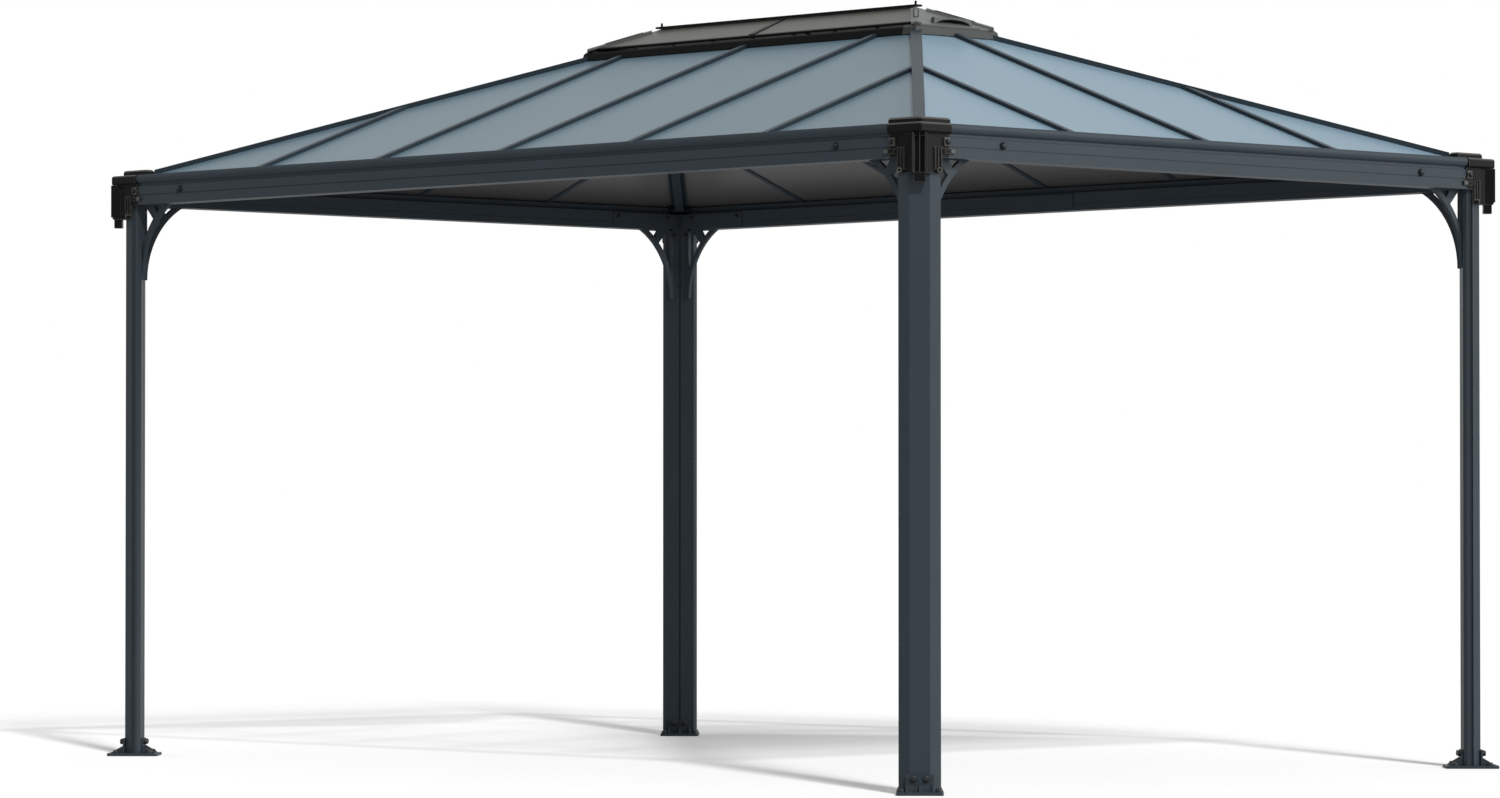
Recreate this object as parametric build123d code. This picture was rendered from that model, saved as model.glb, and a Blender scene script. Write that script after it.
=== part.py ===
from build123d import *
from math import sqrt
import os

# Overall size, in millimetres. X runs along the long side, and the origin is on the
# floor under the middle of the roof.
LENGTH = 4300.0             # over the gutters, along X
WIDTH = 2950.0              # over the gutters, along Y
HEADROOM = 2080.0           # floor to the underside of the eaves beams
ROOF_RISE = 0.367           # rise of the roof for each unit of run
CLEAR = 0.3                 # gap left between pieces that are pushed or slid together

# Posts: a flat aluminium section set on the diagonal of each corner
POST_INSET = 63.0           # gutter edge to the post's centre, along X and along Y
POST_WIDTH = 139.0          # across the diagonal
POST_DEPTH = 62.0           # along the diagonal
POST_FACE = 68.0            # flat on the outer side, between the two bevels
POST_CHAMFER = 12.0
POST_SIDE_GROOVE = 12.0     # width of the slot along each edge
POST_SIDE_GROOVE_AT = 3.0   # where that slot starts, from the post's centre outwards
POST_SIDE_GROOVE_DEEP = 10.0
POST_BACK_GROOVE = 7.0      # width of the slot down the inner face
POST_BACK_GROOVE_DEEP = 5.0

# Feet
FOOT_LONG = 190.0           # along the diagonal
FOOT_WIDE = 155.0
FOOT_THICK = 10.0
FOOT_CORNER = 10.0
FOOT_BOLT_PITCH = 124.0     # square pattern of the floor bolts
FOOT_BOLT_HOLE = 11.0
FOOT_BOSS = 26.0            # raised ring round each floor bolt
FOOT_BOSS_HIGH = 4.0
TONGUE_WIDE = 92.0          # upright tongue that is bolted to the post
TONGUE_HIGH = 66.0
TONGUE_THICK = 7.0
TONGUE_FLARE = 22.0         # radius where the tongue runs into the plate
TONGUE_RIB = 6.0

# Eaves beams, each with a rain gutter along its top
BEAM_IN = 29.0              # post line to the inner face
BEAM_OUT = 54.0             # post line to the outer face
BEAM_BOX = 68.0             # height of the closed part below the gutter
BEAM_LOWER_BAND = 33.0      # height of the proud strip along the bottom
BEAM_LINE = 5.0             # groove above that strip
BEAM_LINE_DEEP = 3.0
BEAM_INNER_LINE = 23.0      # height of the fine groove along the inner face
BEAM_INNER_WIDE = 3.0
BEAM_INNER_DEEP = 1.5
BEAM_NECK = 80.0            # where the bulge of the gutter starts
BEAM_HIGH = 113.0
BEAM_END = 84.0             # post's centre to the beam's end
GUTTER_WALL = 4.0
GUTTER_REST = 10.0          # post line to the inner gutter wall that the roof rests on

# Corner brackets, moulded
RIM_PROUD = 5.0             # how far the rim stands out past the gutter
RIM_INNER = 20.0            # post line to the inner end of the rim's arms
RIM_CORNER = 14.0
RIM_ROUND = 9.0
RIM_TOP = 133.0             # top of the raised lid, above the headroom
RIM_STEP = 32.0             # inset of the raised lid
LID_ARM = 108.0             # post line to the end of its arms
LID_IN = 5.0                # post line to its inner edge along the arms
LID_ROUND = 6.0
BRACKET_LOW = 52.0          # how far the body hangs below the beams
BRACKET_ARM = 46.0          # post line to the end of the body's side
DUCT_WIDE = 48.0            # rainwater duct on the corner
DUCT_OUT = 84.0             # post's centre to its front, along the diagonal
DUCT_CHANNEL = 38.0
DUCT_CHANNEL_DEEP = 16.0
FIN_OUT = 90.0              # bright edges that stand out on both sides of the duct
FIN_THICK = 5.0
FIN_LOW = 44.0              # how far they hang below the beams
SPOUT_WIDE = 39.0
SPOUT_DEEP = 30.0
SPOUT_OUT = 78.0
SPOUT_LOW = 84.0            # spout's mouth below the beams
SPOUT_WALL = 3.0
LUG = (56.0, 83.0)          # block under the bolt on each beam, from the post line
LUG_BAND = (38.0, 66.0)     # its height above the headroom
LUG_PROUD = 6.0
CLAW_REACH = 106.0          # post line to the tip of the hook over the beam's lower strip
CLAW_BAND = (14.0, 29.0)
CLAW_PROUD = 8.0
SIDE_RIBS = (12.0, 26.0, 40.0)   # post line to the upright ribs on each side
SIDE_RIB_THICK = 5.0
SIDE_RIB_PROUD = 6.0
SIDE_RIB_LOW = 40.0
SIDE_RIB_TOP = 34.0
EAR_AT = (8.0, 66.0)        # small ring at each lower corner: outwards and across
EAR_LOW = 42.0
EAR_RADIUS = 9.0
EAR_HOLE = 4.0
EAR_DEEP = 18.0

# Inner corner connectors, bent from plate
CONNECTOR_REACH = 400.0
CONNECTOR_THICK = 4.0
CONNECTOR_EDGE = 5.0        # strip of beam left above and below it
SPLICE_LONG = 320.0         # plate over the joint in the middle of each long beam
SPLICE_THICK = 4.0

# Knee braces
BRACE_DROP = 280.0          # underside of the beam to the brace's foot
BRACE_RADIUS = 316.0        # hollow edge
BRACE_FOOT = 55.0           # post's centre to the hollow edge at the foot
BRACE_THICK = 14.0
BRACE_OFFSET = 4.0          # post line to the brace's middle, outwards
BRACE_BAR = 21.0            # width of the curved bar
BRACE_LEG = 54.0            # post's centre to the lower opening
BRACE_RAIL = 4.0            # strip along the beam and the post
BRACE_STRUT_TOP = (71.0, 124.0)              # post's centre to the strut's edges along the beam
BRACE_STRUT_FOOT = ((129.0, 60.0), (149.0, 36.0))   # run and drop of its foot on the curved bar

# Roof bars and sheets, measured straight up from the top of the sheets
SHEET_EAVE = 35.0           # post line to the lower edge of the sheets, outwards
SHEET_THICK = 10.6
BAR_RISE = 14.0             # bars stand this far above the sheets
BAR_CAP = 28.0
BAR_WEB = 8.0
BAR_FLANGE = 24.0
BAR_FLANGE_THICK = 5.0
HIP_CAP = 40.0
HIP_FLANGE = 66.0
HIP_TUBE = 35.0
HIP_DEEP = 45.0
BAY = 676.0                 # spacing of the roof bars
EAVE_RISE = 103.5           # headroom to the top of the sheets on the post line

# Vented top
VENT_WIDE = 428.0           # across its outer edge, along Y
VENT_OVERLAP = 40.0         # sheets and bars run this far in under it
CURB_WIDE = 30.0
CURB_DEEP = 52.0
SKIRT_WALL = 5.0
SKIRT_BATTER = 5.0          # how far the skirt leans in
SKIRT_DECK = 15.0           # height of the deck's underside above the bars at its edge
DECK_THICK = 3.0            # deck along the long sides, under the open slot
SKIRT_STEP = 9.0            # rise and run of the sloped step above the skirt
HOOD_RISE = 0.41            # slope of the hoods
HOOD_THICK = 5.0
HOOD_LIP = 30.0             # skirt's shoulder to the long hood's lower edge
HOOD_SEAM = 4.0             # hood's edge to the line of the corner
SPACER = 215.0              # blocks that hold the long hoods off the deck
SPACER_LONG = 14.0
SPACER_WIDE = 8.0
LIP_RADIUS = 5.0            # rolled lower edge of the long hoods
EYELID_RUN = 22.0           # raised lid on each end slope: shoulder to its mouth
EYELID_LONG = 55.0
EYELID_WIDE = 190.0
EYELID_SHEET = 4.0
STRAP_WIDE = 26.0           # strap down the middle of each long hood
STRAP_THICK = 4.0
COVER_WIDE = 38.0
COVER_THICK = 7.0
RIDGE_WIDE = 34.0
PIN_HIGH = 15.0
PIN_RADIUS = 2.5

# Places worked out from the sizes above
POST_X = LENGTH / 2 - POST_INSET
POST_Y = WIDTH / 2 - POST_INSET
BEAM_TOP = HEADROOM + BEAM_BOX
SHEET_Z = HEADROOM + EAVE_RISE
ROOT2 = sqrt(2)
HIP_FALL = ROOF_RISE / ROOT2
VENT_RUN = POST_Y - VENT_WIDE / 2       # post line to the outer edge of the vented top
ROOF_TOP_RUN = VENT_RUN + VENT_OVERLAP
DIAGONAL = Plane(origin=(POST_X, POST_Y, 0), x_dir=(1, 1, 0), z_dir=(0, 0, 1))
CORNERS = {"back_right": (1, 1), "back_left": (-1, 1), "front_right": (1, -1), "front_left": (-1, -1)}


def carried(points, run):
    """Solid swept by a flat outline of 3-D points along a straight run."""
    face = Face(Wire.make_polygon([Vector(*p) for p in points]))
    run = Vector(*run)
    if face.normal_at().dot(run) < 0:
        face = -face
    return extrude(face, amount=run.length, dir=run.normalized()).solid()


def prism(points, height):
    """Upright prism over a flat outline."""
    return carried(points, (0, 0, height))


def bar_between(section, start, run, across):
    """Bar with upright ends: a section of (sideways, up) points carried along a sloping run."""
    side = Vector(*across).normalized()
    return carried([tuple(Vector(*start) + side * s + Vector(0, 0, h)) for s, h in section], run)


def both_halves(half):
    """Closed outline from its right half, mirrored about the middle."""
    return half + [(-s, h) for s, h in reversed(half) if s > 0]


def flip(shape, sx, sy):
    """The piece of the back right corner or side, moved to another one."""
    if sx < 0:
        shape = mirror(shape, about=Plane.YZ)
    if sy < 0:
        shape = mirror(shape, about=Plane.XZ)
    return shape


def sheet_top(run):
    """Height of the sheets' top at a distance inwards from the post line."""
    return SHEET_Z + ROOF_RISE * run


def post():
    half_depth = POST_DEPTH / 2
    half_width = POST_WIDTH / 2
    groove_end = POST_SIDE_GROOVE_AT - POST_SIDE_GROOVE
    half = [
        (half_depth, 0),
        (half_depth, POST_FACE / 2),
        (POST_SIDE_GROOVE_AT, half_width),
        (POST_SIDE_GROOVE_AT, half_width - POST_SIDE_GROOVE_DEEP),
        (groove_end, half_width - POST_SIDE_GROOVE_DEEP),
        (groove_end, half_width),
        (POST_CHAMFER - half_depth, half_width),
        (-half_depth, half_width - POST_CHAMFER),
        (-half_depth, POST_BACK_GROOVE / 2),
        (POST_BACK_GROOVE_DEEP - half_depth, POST_BACK_GROOVE / 2),
    ]
    outline = half + [(u, -v) for u, v in reversed(half) if v > 0]
    section = DIAGONAL * make_face(Polyline(*outline, close=True))
    return Pos(0, 0, FOOT_THICK) * extrude(section, amount=BEAM_TOP - FOOT_THICK, dir=(0, 0, 1))


def foot():
    plate = extrude(RectangleRounded(FOOT_LONG, FOOT_WIDE, FOOT_CORNER), amount=FOOT_THICK)
    half_pitch = FOOT_BOLT_PITCH / 2
    spots = [(sx * half_pitch, sy * half_pitch) for sx in (1, -1) for sy in (1, -1)]
    for x, y in spots:
        plate += Pos(x, y, FOOT_THICK) * extrude(Circle(FOOT_BOSS / 2), amount=FOOT_BOSS_HIGH)
    near = POST_DEPTH / 2 + CLEAR
    far = near + TONGUE_THICK
    flare_z = FOOT_THICK + TONGUE_FLARE
    with BuildPart() as tongue:
        with BuildSketch(Plane.XZ.offset(-TONGUE_WIDE / 2)):
            with BuildLine():
                Line((near, FOOT_THICK), (near, TONGUE_HIGH))
                Line((near, TONGUE_HIGH), (far, TONGUE_HIGH))
                Line((far, TONGUE_HIGH), (far, flare_z))
                RadiusArc((far, flare_z), (far + TONGUE_FLARE, FOOT_THICK), -TONGUE_FLARE)
                Line((far + TONGUE_FLARE, FOOT_THICK), (near, FOOT_THICK))
            make_face()
        extrude(amount=TONGUE_WIDE)
    ribs = Part()
    for y in (-TONGUE_WIDE / 2, -TONGUE_RIB / 2, TONGUE_WIDE / 2 - TONGUE_RIB):
        corner = [(far, y, FOOT_THICK), (FOOT_LONG / 2 - FOOT_CORNER, y, FOOT_THICK), (far, y, flare_z + TONGUE_RIB)]
        ribs += extrude(Face(Wire.make_polygon([Vector(*p) for p in corner])), amount=TONGUE_RIB, dir=(0, 1, 0))
    half = tongue.part + ribs
    shape = plate + half + mirror(half, about=Plane.YZ)
    for x, y in spots:
        shape -= Pos(x, y, 0) * extrude(Circle(FOOT_BOLT_HOLE / 2), amount=FOOT_THICK + FOOT_BOSS_HIGH)
    return DIAGONAL * shape


def beam_section():
    """Beam and gutter outline: outwards from the post line, up from the headroom."""
    out = BEAM_OUT
    edge = POST_INSET
    rest = GUTTER_REST
    rest_top = EAVE_RISE + ROOF_RISE * rest - SHEET_THICK - 2 * CLEAR - BAR_FLANGE_THICK
    line_top = BEAM_LOWER_BAND + BEAM_LINE
    inner_line = BEAM_INNER_LINE
    floor = BEAM_BOX + GUTTER_WALL
    bulge_z = (BEAM_NECK + BEAM_HIGH) / 2
    with BuildSketch() as section:
        with BuildLine():
            Polyline(
                (-BEAM_IN, 0),
                (out, 0),
                (out, BEAM_LOWER_BAND),
                (out - BEAM_LINE_DEEP, BEAM_LOWER_BAND),
                (out - BEAM_LINE_DEEP, line_top),
                (out - 1, line_top),
                (out - 1, BEAM_BOX),
                (out - 2 * BEAM_LINE_DEEP, BEAM_BOX + BEAM_LINE_DEEP),
                (out - 2 * BEAM_LINE_DEEP, BEAM_NECK),
            )
            ThreePointArc((out - 2 * BEAM_LINE_DEEP, BEAM_NECK), (edge, bulge_z), (edge - 5, BEAM_HIGH))
            Line((edge - 5, BEAM_HIGH), (edge - 5 - GUTTER_WALL, BEAM_HIGH))
            ThreePointArc(
                (edge - 5 - GUTTER_WALL, BEAM_HIGH),
                (edge - GUTTER_WALL, bulge_z),
                (out - 2 * BEAM_LINE_DEEP - GUTTER_WALL, BEAM_NECK),
            )
            Polyline(
                (out - 2 * BEAM_LINE_DEEP - GUTTER_WALL, BEAM_NECK),
                (out - 2 * BEAM_LINE_DEEP - GUTTER_WALL, floor),
                (-rest, floor),
                (-rest, rest_top),
                (-rest - GUTTER_WALL, rest_top),
                (-rest - GUTTER_WALL, BEAM_BOX),
                (-BEAM_IN, BEAM_BOX),
                (-BEAM_IN, inner_line + BEAM_INNER_WIDE),
                (BEAM_INNER_DEEP - BEAM_IN, inner_line + BEAM_INNER_WIDE),
                (BEAM_INNER_DEEP - BEAM_IN, inner_line),
                (-BEAM_IN, inner_line),
                (-BEAM_IN, 0),
            )
        make_face()
    return section.sketch


def long_beam():
    plane = Plane(origin=(BEAM_END - POST_X, POST_Y, HEADROOM), x_dir=(0, 1, 0), z_dir=(1, 0, 0))
    return extrude(plane * beam_section(), amount=2 * (POST_X - BEAM_END), dir=(1, 0, 0))


def short_beam():
    plane = Plane(origin=(POST_X, POST_Y - BEAM_END, HEADROOM), x_dir=(1, 0, 0), z_dir=(0, -1, 0))
    return extrude(plane * beam_section(), amount=2 * (POST_Y - BEAM_END), dir=(0, -1, 0))


def lid_outline(grow, z):
    """Plan of a corner bracket's lid, square outside and cut off inside."""
    out = POST_INSET + RIM_PROUD + grow
    arm = BEAM_END - CLEAR + grow
    inner = RIM_INNER + grow * (ROOT2 - 1)
    plan = [(out, out), (out, -arm), (-inner, -arm), (-arm, -inner), (-arm, out)]
    return [(POST_X + p, POST_Y + q, z) for p, q in plan]


def raised_lid():
    """Cap on the rim, whose arms run on a little way over the sheets."""
    out = POST_INSET + RIM_PROUD - RIM_STEP
    diagonal = BEAM_END + RIM_INNER - 2 * CLEAR
    near = (-LID_IN, LID_IN - diagonal)
    half = [(out, out), (out, -LID_ARM), (-LID_IN, -LID_ARM), near]
    plan = half + [(q, p) for p, q in reversed(half[1:])]
    lid = prism([(POST_X + p, POST_Y + q, HEADROOM + BEAM_HIGH) for p, q in plan], RIM_TOP - BEAM_HIGH)
    edge = lid.edges().filter_by(Axis.Z).sort_by(lambda e: e.center().X + e.center().Y)[-1]
    lid = fillet(edge, RIM_CORNER)
    return chamfer(lid.faces().sort_by(Axis.Z)[-1].edges(), LID_ROUND)


def arm_block(reach, out, band):
    """A block on each beam side of the corner, given from the post line."""
    low, high = band
    plan = [(reach[0], out[0]), (reach[1], out[0]), (reach[1], out[1]), (reach[0], out[1])]
    one = prism([(POST_X - s, POST_Y + o, HEADROOM + low) for s, o in plan], high - low)
    return [one, swap_xy(one)]


def upright(out, wide, low, high):
    """Upright block on the corner's diagonal: outwards from and to, across, height from and to."""
    size = (out[1] - out[0], wide, high - low)
    block = Box(*size, align=(Align.MIN, Align.CENTER, Align.MIN))
    return Pos(out[0], 0, HEADROOM + low) * block


def corner_bracket(post_solid):
    rim_low = BEAM_NECK - BEAM_LINE_DEEP
    rim = prism(lid_outline(0, HEADROOM + rim_low), BEAM_HIGH - rim_low)
    rim = fillet(rim.edges().filter_by(Axis.Z).sort_by(lambda e: e.center().X + e.center().Y)[-1], RIM_CORNER)
    rim = fillet(outer_rim(rim.faces().sort_by(Axis.Z)[-1]) + outer_rim(rim.faces().sort_by(Axis.Z)[0]), RIM_ROUND)
    lid = raised_lid()
    face = BEAM_OUT
    end = CLEAR - BEAM_END
    body_plan = [(face, face), (face, -BRACKET_ARM), (-BRACKET_ARM, -BRACKET_ARM), (-BRACKET_ARM, face)]
    body = prism([(POST_X + p, POST_Y + q, HEADROOM - BRACKET_LOW) for p, q in body_plan], BRACKET_LOW)
    body -= DIAGONAL * upright((-2 * POST_WIDTH, 0), 2 * POST_WIDTH, -BRACKET_LOW, 0)
    arms_plan = [(face, face), (face, end), (0, end), (0, 0), (end, 0), (end, face)]
    arms = prism([(POST_X + p, POST_Y + q, HEADROOM) for p, q in arms_plan], rim_low)
    duct = upright((0, DUCT_OUT), DUCT_WIDE, -BRACKET_LOW, rim_low)
    duct -= upright((DUCT_OUT - DUCT_CHANNEL_DEEP, DUCT_OUT), DUCT_CHANNEL, -BRACKET_LOW, rim_low)
    for side in (1, -1):
        fin = upright((DUCT_OUT - DUCT_CHANNEL_DEEP, FIN_OUT), FIN_THICK, -FIN_LOW, rim_low)
        duct += Pos(0, side * (DUCT_WIDE - FIN_THICK) / 2, 0) * fin
        across = side * EAR_AT[1]
        ear = Pos(EAR_AT[0], across, HEADROOM - EAR_LOW) * Rot(0, 90, 0) * extrude(Circle(EAR_RADIUS), amount=EAR_DEEP)
        ear -= Pos(EAR_AT[0], across, HEADROOM - EAR_LOW) * Rot(0, 90, 0) * extrude(Circle(EAR_HOLE), amount=EAR_DEEP)
        duct += ear
    duct += upright((SPOUT_OUT - SPOUT_DEEP, SPOUT_OUT), SPOUT_WIDE, -SPOUT_LOW, -BRACKET_LOW)
    shape = rim + lid + body + arms + DIAGONAL * duct
    blocks = arm_block(LUG, (face - LUG_PROUD, face + LUG_PROUD), LUG_BAND)
    claw_edge = BEAM_END - CLEAR
    blocks += arm_block((LUG[0], claw_edge), (face - LUG_PROUD, face + CLAW_PROUD), CLAW_BAND)
    blocks += arm_block((claw_edge, CLAW_REACH), (face + CLEAR, face + CLAW_PROUD), CLAW_BAND)
    for spot in SIDE_RIBS:
        reach = (spot, spot + SIDE_RIB_THICK)
        blocks += arm_block(reach, (face - SIDE_RIB_PROUD, face + SIDE_RIB_PROUD), (-SIDE_RIB_LOW, SIDE_RIB_TOP))
    for block in blocks:
        shape += block
    bore_out = (SPOUT_OUT - SPOUT_DEEP + SPOUT_WALL, SPOUT_OUT - SPOUT_WALL)
    shape -= DIAGONAL * upright(bore_out, SPOUT_WIDE - 2 * SPOUT_WALL, -SPOUT_LOW, BEAM_BOX)
    return biggest(shape - post_solid)


def outer_rim(face):
    """The two edges of a rim's face that show on the outside of the corner, and what joins them."""
    edges = face.edges().sort_by(lambda e: max(e.center().X - POST_X, e.center().Y - POST_Y))
    return edges[-3:]


def connector():
    """Plate bent round the inside of a corner, flat on both beams and on the post."""
    inner = -BEAM_IN
    outer = inner - CONNECTOR_THICK
    nose = -POST_DEPTH / 2 * ROOT2 - outer
    plan = [(-CONNECTOR_REACH, inner), (outer, inner), (outer, nose), (nose, outer), (inner, outer),
            (inner, -CONNECTOR_REACH), (outer, -CONNECTOR_REACH), (outer, outer), (-CONNECTOR_REACH, outer)]
    low = HEADROOM + CONNECTOR_EDGE
    return prism([(POST_X + p, POST_Y + q, low) for p, q in plan], BEAM_BOX - 2 * CONNECTOR_EDGE)


def brace(post_solid):
    """Knee brace under a long beam: plate with a hollow edge and two openings."""
    foot_z = HEADROOM - BRACE_DROP
    centre = BRACE_FOOT + BRACE_RADIUS
    top_run = centre - sqrt(BRACE_RADIUS ** 2 - BRACE_DROP ** 2)
    bar_radius = BRACE_RADIUS + BRACE_BAR
    plane = Plane(origin=(POST_X, POST_Y + BRACE_OFFSET - BRACE_THICK / 2, 0), x_dir=(-1, 0, 0), z_dir=(0, 1, 0))
    with BuildSketch() as outline:
        with BuildLine():
            Polyline((0, foot_z), (0, HEADROOM), (top_run, HEADROOM))
            RadiusArc((top_run, HEADROOM), (BRACE_FOOT, foot_z), -BRACE_RADIUS)
            Line((BRACE_FOOT, foot_z), (0, foot_z))
        make_face()
    rail_top = HEADROOM - BRACE_RAIL
    leg = BRACE_LEG
    inner_top = centre - sqrt(bar_radius ** 2 - (rail_top - foot_z) ** 2)
    leg_z = foot_z + sqrt(bar_radius ** 2 - (centre - leg) ** 2)
    with BuildSketch() as window:
        with BuildLine():
            Polyline((leg, leg_z), (leg, rail_top), (inner_top, rail_top))
            RadiusArc((inner_top, rail_top), (leg, leg_z), -bar_radius)
        make_face()
    near_top, far_top = [(run, HEADROOM) for run in BRACE_STRUT_TOP]
    near_foot, far_foot = [(run, HEADROOM - drop) for run, drop in BRACE_STRUT_FOOT]
    strut = make_face(Polyline(near_top, far_top, far_foot, near_foot, close=True))
    flat = outline.sketch - (window.sketch - strut)
    return biggest(extrude(plane * flat, amount=BRACE_THICK, dir=(0, 1, 0)) - post_solid)


def swap_xy(shape):
    """The same piece on the other beam of the back right corner."""
    about = Plane(origin=(POST_X, POST_Y, 0), z_dir=(1, -1, 0))
    return mirror(shape, about=about)


def hip():
    half_web = BAR_WEB / 2 + 1
    half_cap = HIP_CAP / 2
    half_flange = HIP_FLANGE / 2
    half_tube = HIP_TUBE / 2
    under = SHEET_THICK + CLEAR
    half = [
        (0, BAR_RISE),
        (half_cap, BAR_RISE),
        (half_cap, CLEAR - HIP_FALL * half_cap),
        (half_web, CLEAR - HIP_FALL * half_web),
        (half_web, -under - HIP_FALL * half_web),
        (half_flange, -under - HIP_FALL * half_flange),
        (half_flange, -under - BAR_FLANGE_THICK - HIP_FALL * half_flange),
        (half_tube, -under - BAR_FLANGE_THICK - HIP_FALL * half_tube),
        (half_tube, -HIP_DEEP),
        (0, -HIP_DEEP),
    ]
    first = (BEAM_END + RIM_INNER) / 2 + CLEAR
    start = (POST_X - first, POST_Y - first, sheet_top(first))
    length = ROOF_TOP_RUN - first
    run = (-length, -length, ROOF_RISE * length)
    return bar_between(both_halves(half), start, run, (1, -1, 0))


def bar_section():
    half = [
        (0, BAR_RISE),
        (BAR_CAP / 2, BAR_RISE),
        (BAR_CAP / 2, CLEAR),
        (BAR_WEB / 2, CLEAR),
        (BAR_WEB / 2, -SHEET_THICK - CLEAR),
        (BAR_FLANGE / 2, -SHEET_THICK - CLEAR),
        (BAR_FLANGE / 2, -SHEET_THICK - CLEAR - BAR_FLANGE_THICK),
        (0, -SHEET_THICK - CLEAR - BAR_FLANGE_THICK),
    ]
    return both_halves(half)


def bar_spots(half_length):
    """Places of the roof bars along a side, from its middle outwards, both ways."""
    count = int(half_length / BAY - 0.5)
    return [n * BAY for n in range(-count, count + 1)]


def side_bars(half_length, half_width, along_x, hips):
    """All bars of one side, cut where they meet the hips."""
    bars = []
    for spot in bar_spots(half_length):
        top = min(ROOF_TOP_RUN, half_length - abs(spot))
        length = top + SHEET_EAVE - BAR_WEB
        low = BAR_WEB - SHEET_EAVE
        edge = half_width - low
        if along_x:
            start, run, across = (spot, edge, sheet_top(low)), (0, -length, ROOF_RISE * length), (1, 0, 0)
        else:
            start, run, across = (edge, spot, sheet_top(low)), (-length, 0, ROOF_RISE * length), (0, 1, 0)
        bar = bar_between(bar_section(), start, run, across)
        if top < ROOF_TOP_RUN:
            for cutter in hips:
                bar = biggest(bar - cutter)
        bars.append(bar)
    return Compound(children=bars)


def biggest(shape):
    """The main solid of a cut piece."""
    return sorted(shape.solids(), key=lambda s: s.volume)[-1]


def sheet_plan(left, right, half_length):
    """Outline of one sheet: along the side, and inwards from the post line."""
    gap = (BAR_WEB / 2 + 1 + CLEAR) * ROOT2
    top_at = lambda c: min(ROOF_TOP_RUN, half_length - gap - c)
    points = [(left, -SHEET_EAVE), (right, -SHEET_EAVE)]
    if top_at(right) > CLEAR - SHEET_EAVE:
        points.append((right, top_at(right)))
    if top_at(left) >= ROOF_TOP_RUN > top_at(right):
        points.append((half_length - gap - ROOF_TOP_RUN, ROOF_TOP_RUN))
    points.append((left, top_at(left)))
    return points


def side_sheets(half_length, half_width, along_x):
    """The sheets of one side, each a flat slab between two bars."""
    spots = [s for s in bar_spots(half_length) if s >= 0]
    gap = (BAR_WEB / 2 + 1 + CLEAR) * ROOT2
    lids = [flip(prism(lid_outline(CLEAR, HEADROOM), 2 * RIM_TOP), sx, sy) for sx, sy in CORNERS.values()]
    slabs = []
    for place, left in enumerate(spots):
        last = place == len(spots) - 1
        inner = left + BAR_WEB / 2 + CLEAR
        outer = half_length + SHEET_EAVE - gap if last else spots[place + 1] - BAR_WEB / 2 - CLEAR
        for sign in (1, -1):
            points = []
            for c, run in sheet_plan(inner, outer, half_length):
                z = sheet_top(run) - SHEET_THICK
                edge = half_width - run
                points.append((sign * c, edge, z) if along_x else (edge, sign * c, z))
            slab = prism(points, SHEET_THICK)
            if last:
                for lid in lids:
                    slab = biggest(slab - lid)
            slabs.append(slab)
    return Compound(children=slabs)


def curb():
    """Ring beam that closes the upper ends of the bars."""
    half_x = POST_X - ROOF_TOP_RUN - CLEAR
    half_y = POST_Y - ROOF_TOP_RUN - CLEAR
    top = vent_base() + SKIRT_DECK - CLEAR
    ring = Box(2 * half_x, 2 * half_y, CURB_DEEP) - Box(2 * (half_x - CURB_WIDE), 2 * (half_y - CURB_WIDE), CURB_DEEP)
    return Pos(0, 0, top - CURB_DEEP / 2) * ring


def vent_base():
    """Height of the roof bars' top at the outer edge of the vented top."""
    return sheet_top(VENT_RUN) + BAR_RISE


def frustum(low, high, low_z, high_z):
    """Four-sided block that narrows from one rectangle to another."""
    bottom = Pos(0, 0, low_z) * Rectangle(2 * low[0], 2 * low[1])
    top = Pos(0, 0, high_z) * Rectangle(2 * high[0], 2 * high[1])
    return loft([bottom.face(), top.face()])


def skirt_rings():
    """Half sizes and heights of the skirt: bottom edge, shoulder and step."""
    half_x = POST_X - VENT_RUN
    half_y = POST_Y - VENT_RUN
    base = sheet_top(VENT_RUN + SKIRT_BATTER + SKIRT_WALL) + CLEAR
    shoulder = vent_base() + SKIRT_DECK
    return [
        (half_x, half_y, base),
        (half_x - SKIRT_BATTER, half_y - SKIRT_BATTER, shoulder),
        (half_x - SKIRT_BATTER - SKIRT_STEP, half_y - SKIRT_BATTER - SKIRT_STEP, shoulder + SKIRT_STEP),
    ]


def hood_top(run):
    """Height of the hoods' top, inwards from the skirt's shoulder."""
    return skirt_rings()[2][2] + CLEAR + HOOD_THICK + HOOD_RISE * (run - SKIRT_STEP)


def deck_hole():
    """Half sizes of the opening through the deck, which the curb frames."""
    inner = ROOF_TOP_RUN + CURB_WIDE
    return POST_X - inner, POST_Y - inner


def skirts():
    """The skirt and its deck, as the back side and the right end."""
    low, shoulder, step = skirt_rings()
    deck = shoulder[2]
    hole_x, hole_y = deck_hole()
    shape = frustum(low[:2], shoulder[:2], low[2], deck)
    raised = frustum(shoulder[:2], step[:2], deck, step[2])
    slot_high = step[2] - deck - DECK_THICK
    raised -= Pos(0, 0, step[2] - slot_high / 2) * Box(2 * hole_x, 2 * shoulder[1], slot_high)
    inside = shoulder[0] - SKIRT_WALL, shoulder[1] - SKIRT_WALL
    hollow = deck - low[2]
    shape -= Pos(0, 0, low[2] + hollow / 2) * Box(2 * inside[0], 2 * inside[1], hollow)
    shape += raised
    shape -= Pos(0, 0, deck) * Box(2 * hole_x, 2 * hole_y, 4 * SKIRT_STEP)
    for cutter in bar_notches():
        shape -= cutter
    tall = 4 * hollow
    back = Pos(0, low[1], deck) * Box(2 * (hole_x - CLEAR), 2 * low[1], tall)
    right = Pos(hole_x + low[0], 0, deck) * Box(2 * low[0], 4 * low[1], tall)
    return biggest(shape & back), biggest(shape & right)


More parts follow.
